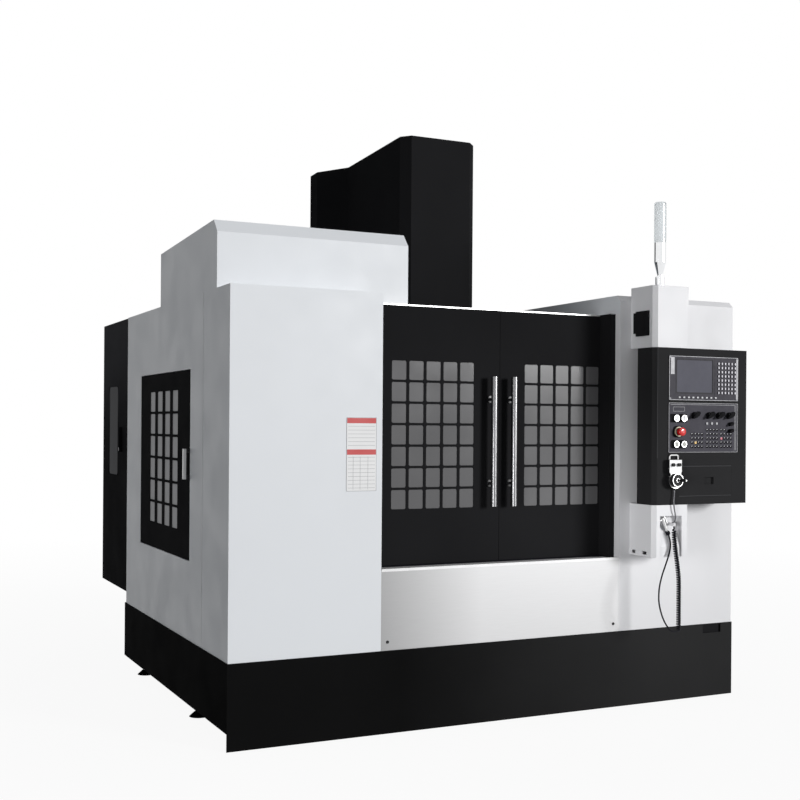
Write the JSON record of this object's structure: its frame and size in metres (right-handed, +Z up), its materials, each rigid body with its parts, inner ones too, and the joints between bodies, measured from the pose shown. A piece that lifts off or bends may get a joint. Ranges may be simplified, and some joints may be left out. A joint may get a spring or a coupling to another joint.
{
  "type": "cnc machining center",
  "caption": "Vertical machining center: closed sheet-metal enclosure with sliding doors, swivelling operator pendant, moving table and head, tool magazine, tower and electrical cabinet.",
  "frame": {"origin": "middle of the machine's footprint box, on the floor", "axes": "+X to the operator's right, +Y to the rear, +Z up; the doors face -Y"},
  "size_m": [2.922, 2.9642, 3.062],
  "materials": {
    "white_paint": "satin powder coat",
    "black_paint": "fine textured powder coat",
    "brushed_sheet": "brushed",
    "cast_paint": "painted casting",
    "ground_steel": "ground",
    "chrome": "polished",
    "window_glass": "grey tinted",
    "lamp_lens": "clear ribbed",
    "unit_plastic": "satin",
    "panel_plastic": "matte film",
    "black_plastic": "matte",
    "switch_metal": "turned",
    "clear_cap": "gloss",
    "stop_red": "gloss",
    "hose_black": "matte"
  },
  "bodies": {
    "machine_frame": {"base_skirt": "black_paint", "levelling_feet": "ground_steel", "bed_casting": "cast_paint", "column_casting": "cast_paint", "left_corner_panel": "white_paint", "left_side_panel": "white_paint", "right_front_panel": "white_paint", "right_side_panel": "white_paint", "roof_panels": "white_paint", "magazine_cover": "white_paint", "door_rails": "brushed_sheet", "door_jambs": "black_paint", "front_apron": "brushed_sheet", "tower_cover": "black_paint", "electrical_cabinet": "black_paint", "upper_arm_block": "white_paint", "lower_arm_block": "white_paint", "arm_latch_box": "black_paint", "signal_lamp_stem": "chrome", "signal_lamp_lens": "lamp_lens", "changer_bracket": "cast_paint", "air_gun": "black_plastic", "air_hose_coil": "hose_black", "air_hose_tail": "hose_black", "hand_wheel_cord": "hose_black"},
    "left_leaf": {"left_door": "black_paint", "left_door_glass": "window_glass", "left_door_handle": "chrome"},
    "right_leaf": {"right_door": "black_paint", "right_door_glass": "window_glass", "right_door_handle": "chrome"},
    "service_leaf": {"side_door": "black_paint", "side_door_glass": "window_glass", "side_door_handle": "switch_metal"},
    "cabinet_leaf": {"cabinet_door": "black_paint"},
    "cross_saddle": {"saddle": "cast_paint"},
    "work_table": {"table": "ground_steel"},
    "head": {"spindle_head": "cast_paint"},
    "spindle_rotor": {"spindle": "ground_steel"},
    "magazine": {"magazine_disc": "ground_steel"},
    "changer_ram": {"changer_shaft": "ground_steel"},
    "swing_arm": {"change_arm": "ground_steel"},
    "pendant": {"pendant_case": "black_paint", "control_unit": "unit_plastic", "operator_panel": "panel_plastic", "hand_wheel_unit": "black_plastic"},
    "flap": {"pendant_flap": "black_paint"},
    "stop": {"stop_button": "stop_red"},
    "wheel": {"hand_wheel": "black_plastic"},
    "trigger": {"air_gun_trigger": "switch_metal"},
    "knob_1": {"override_knob_1": "black_plastic"},
    "knob_2": {"override_knob_2": "black_plastic"},
    "knob_3": {"override_knob_3": "black_plastic"},
    "knob_4": {"override_knob_4": "black_plastic"},
    "axis_selector_1": {"axis_switch_1": "black_plastic"},
    "key_1": {"key_switch_1": "switch_metal"},
    "button_1": {"lit_button_1": "clear_cap"},
    "axis_selector_2": {"axis_switch_2": "black_plastic"},
    "key_2": {"key_switch_2": "switch_metal"},
    "button_2": {"lit_button_2": "clear_cap"}
  },
  "joints": [
    {"name": "left_door_slide", "type": "slide", "parent": "machine_frame", "child": "left_leaf", "axis": [-1, 0, 0], "range_m": [0, 0.62]},
    {"name": "right_door_slide", "type": "slide", "parent": "machine_frame", "child": "right_leaf", "axis": [1, 0, 0], "range_m": [0, 0.52]},
    {"name": "side_door_hinge", "type": "hinge", "parent": "machine_frame", "child": "service_leaf", "pos_m": [-1.433, 0.45165, 1.264], "axis": [0, 0, -1], "range_deg": [0, 110]},
    {"name": "cabinet_door_hinge", "type": "hinge", "parent": "machine_frame", "child": "cabinet_leaf", "pos_m": [-1.433, 1.48115, 1.279], "axis": [0, 0, -1], "range_deg": [0, 120]},
    {"name": "saddle_slide", "type": "slide", "parent": "machine_frame", "child": "cross_saddle", "axis": [0, 1, 0], "range_m": [-0.28, 0.24]},
    {"name": "table_slide", "type": "slide", "parent": "cross_saddle", "child": "work_table", "axis": [1, 0, 0], "range_m": [-0.5, 0.5]},
    {"name": "head_slide", "type": "slide", "parent": "machine_frame", "child": "head", "axis": [0, 0, 1], "range_m": [-0.6, 0]},
    {"name": "spindle_spin", "type": "hinge", "parent": "head", "child": "spindle_rotor", "pos_m": [0.012, -0.30785, 1.655], "axis": [0, 0, 1], "continuous": true},
    {"name": "magazine_spin", "type": "hinge", "parent": "machine_frame", "child": "magazine", "pos_m": [-0.793, -0.30785, 2.03], "axis": [1, 0, 0], "continuous": true},
    {"name": "arm_drop", "type": "slide", "parent": "machine_frame", "child": "changer_ram", "axis": [0, 0, 1], "range_m": [-0.115, 0]},
    {"name": "arm_swing", "type": "hinge", "parent": "changer_ram", "child": "swing_arm", "pos_m": [-0.368, -0.30785, 1.64], "axis": [0, 0, 1], "range_deg": [0, 180]},
    {"name": "pendant_swivel", "type": "hinge", "parent": "machine_frame", "child": "pendant", "pos_m": [0.817, -1.30785, 1.473], "axis": [0, 0, -1], "range_deg": [0, 90], "deforming": ["hand_wheel_cord"]},
    {"name": "flap_hinge", "type": "hinge", "parent": "pendant", "child": "flap", "pos_m": [1.0975, -1.39785, 1.107], "axis": [1, 0, 0], "range_deg": [0, 90]},
    {"name": "stop_press", "type": "slide", "parent": "pendant", "child": "stop", "axis": [0, 1, 0], "range_m": [0, 0.006], "stiffness_N_per_m": 1500},
    {"name": "wheel_turn", "type": "hinge", "parent": "pendant", "child": "wheel", "pos_m": [0.883, -1.42785, 1.196], "axis": [0, -1, 0], "continuous": true},
    {"name": "trigger_pull", "type": "hinge", "parent": "machine_frame", "child": "trigger", "pos_m": [0.85413, -1.37785, 1.00128], "axis": [0, 1, 0], "range_deg": [0, 6], "stiffness_Nm_per_rad": 0.3},
    {"name": "override_knob_turn_1", "type": "hinge", "parent": "pendant", "child": "knob_1", "pos_m": [1.021, -1.40185, 1.5325], "axis": [0, -1, 0], "range_deg": [-140, 140]},
    {"name": "override_knob_turn_2", "type": "hinge", "parent": "pendant", "child": "knob_2", "pos_m": [1.118, -1.40185, 1.5325], "axis": [0, -1, 0], "range_deg": [-140, 140]},
    {"name": "override_knob_turn_3", "type": "hinge", "parent": "pendant", "child": "knob_3", "pos_m": [1.185, -1.40185, 1.5325], "axis": [0, -1, 0], "range_deg": [-140, 140]},
    {"name": "override_knob_turn_4", "type": "hinge", "parent": "pendant", "child": "knob_4", "pos_m": [1.254, -1.40185, 1.5325], "axis": [0, -1, 0], "range_deg": [-140, 140]},
    {"name": "axis_switch_turn_1", "type": "hinge", "parent": "pendant", "child": "axis_selector_1", "pos_m": [1.26, -1.40185, 1.487], "axis": [0, -1, 0], "range_deg": [-60, 60]},
    {"name": "axis_switch_turn_2", "type": "hinge", "parent": "pendant", "child": "axis_selector_2", "pos_m": [1.26, -1.40185, 1.451], "axis": [0, -1, 0], "range_deg": [-60, 60]},
    {"name": "key_switch_turn_1", "type": "hinge", "parent": "pendant", "child": "key_1", "pos_m": [0.901, -1.40585, 1.515], "axis": [0, -1, 0], "range_deg": [0, 90]},
    {"name": "lit_button_press_1", "type": "slide", "parent": "pendant", "child": "button_1", "axis": [0, 1, 0], "range_m": [0, 0.003], "stiffness_N_per_m": 600},
    {"name": "key_switch_turn_2", "type": "hinge", "parent": "pendant", "child": "key_2", "pos_m": [0.9495, -1.40585, 1.515], "axis": [0, -1, 0], "range_deg": [0, 90]},
    {"name": "lit_button_press_2", "type": "slide", "parent": "pendant", "child": "button_2", "axis": [0, 1, 0], "range_m": [0, 0.003], "stiffness_N_per_m": 600}
  ]
}
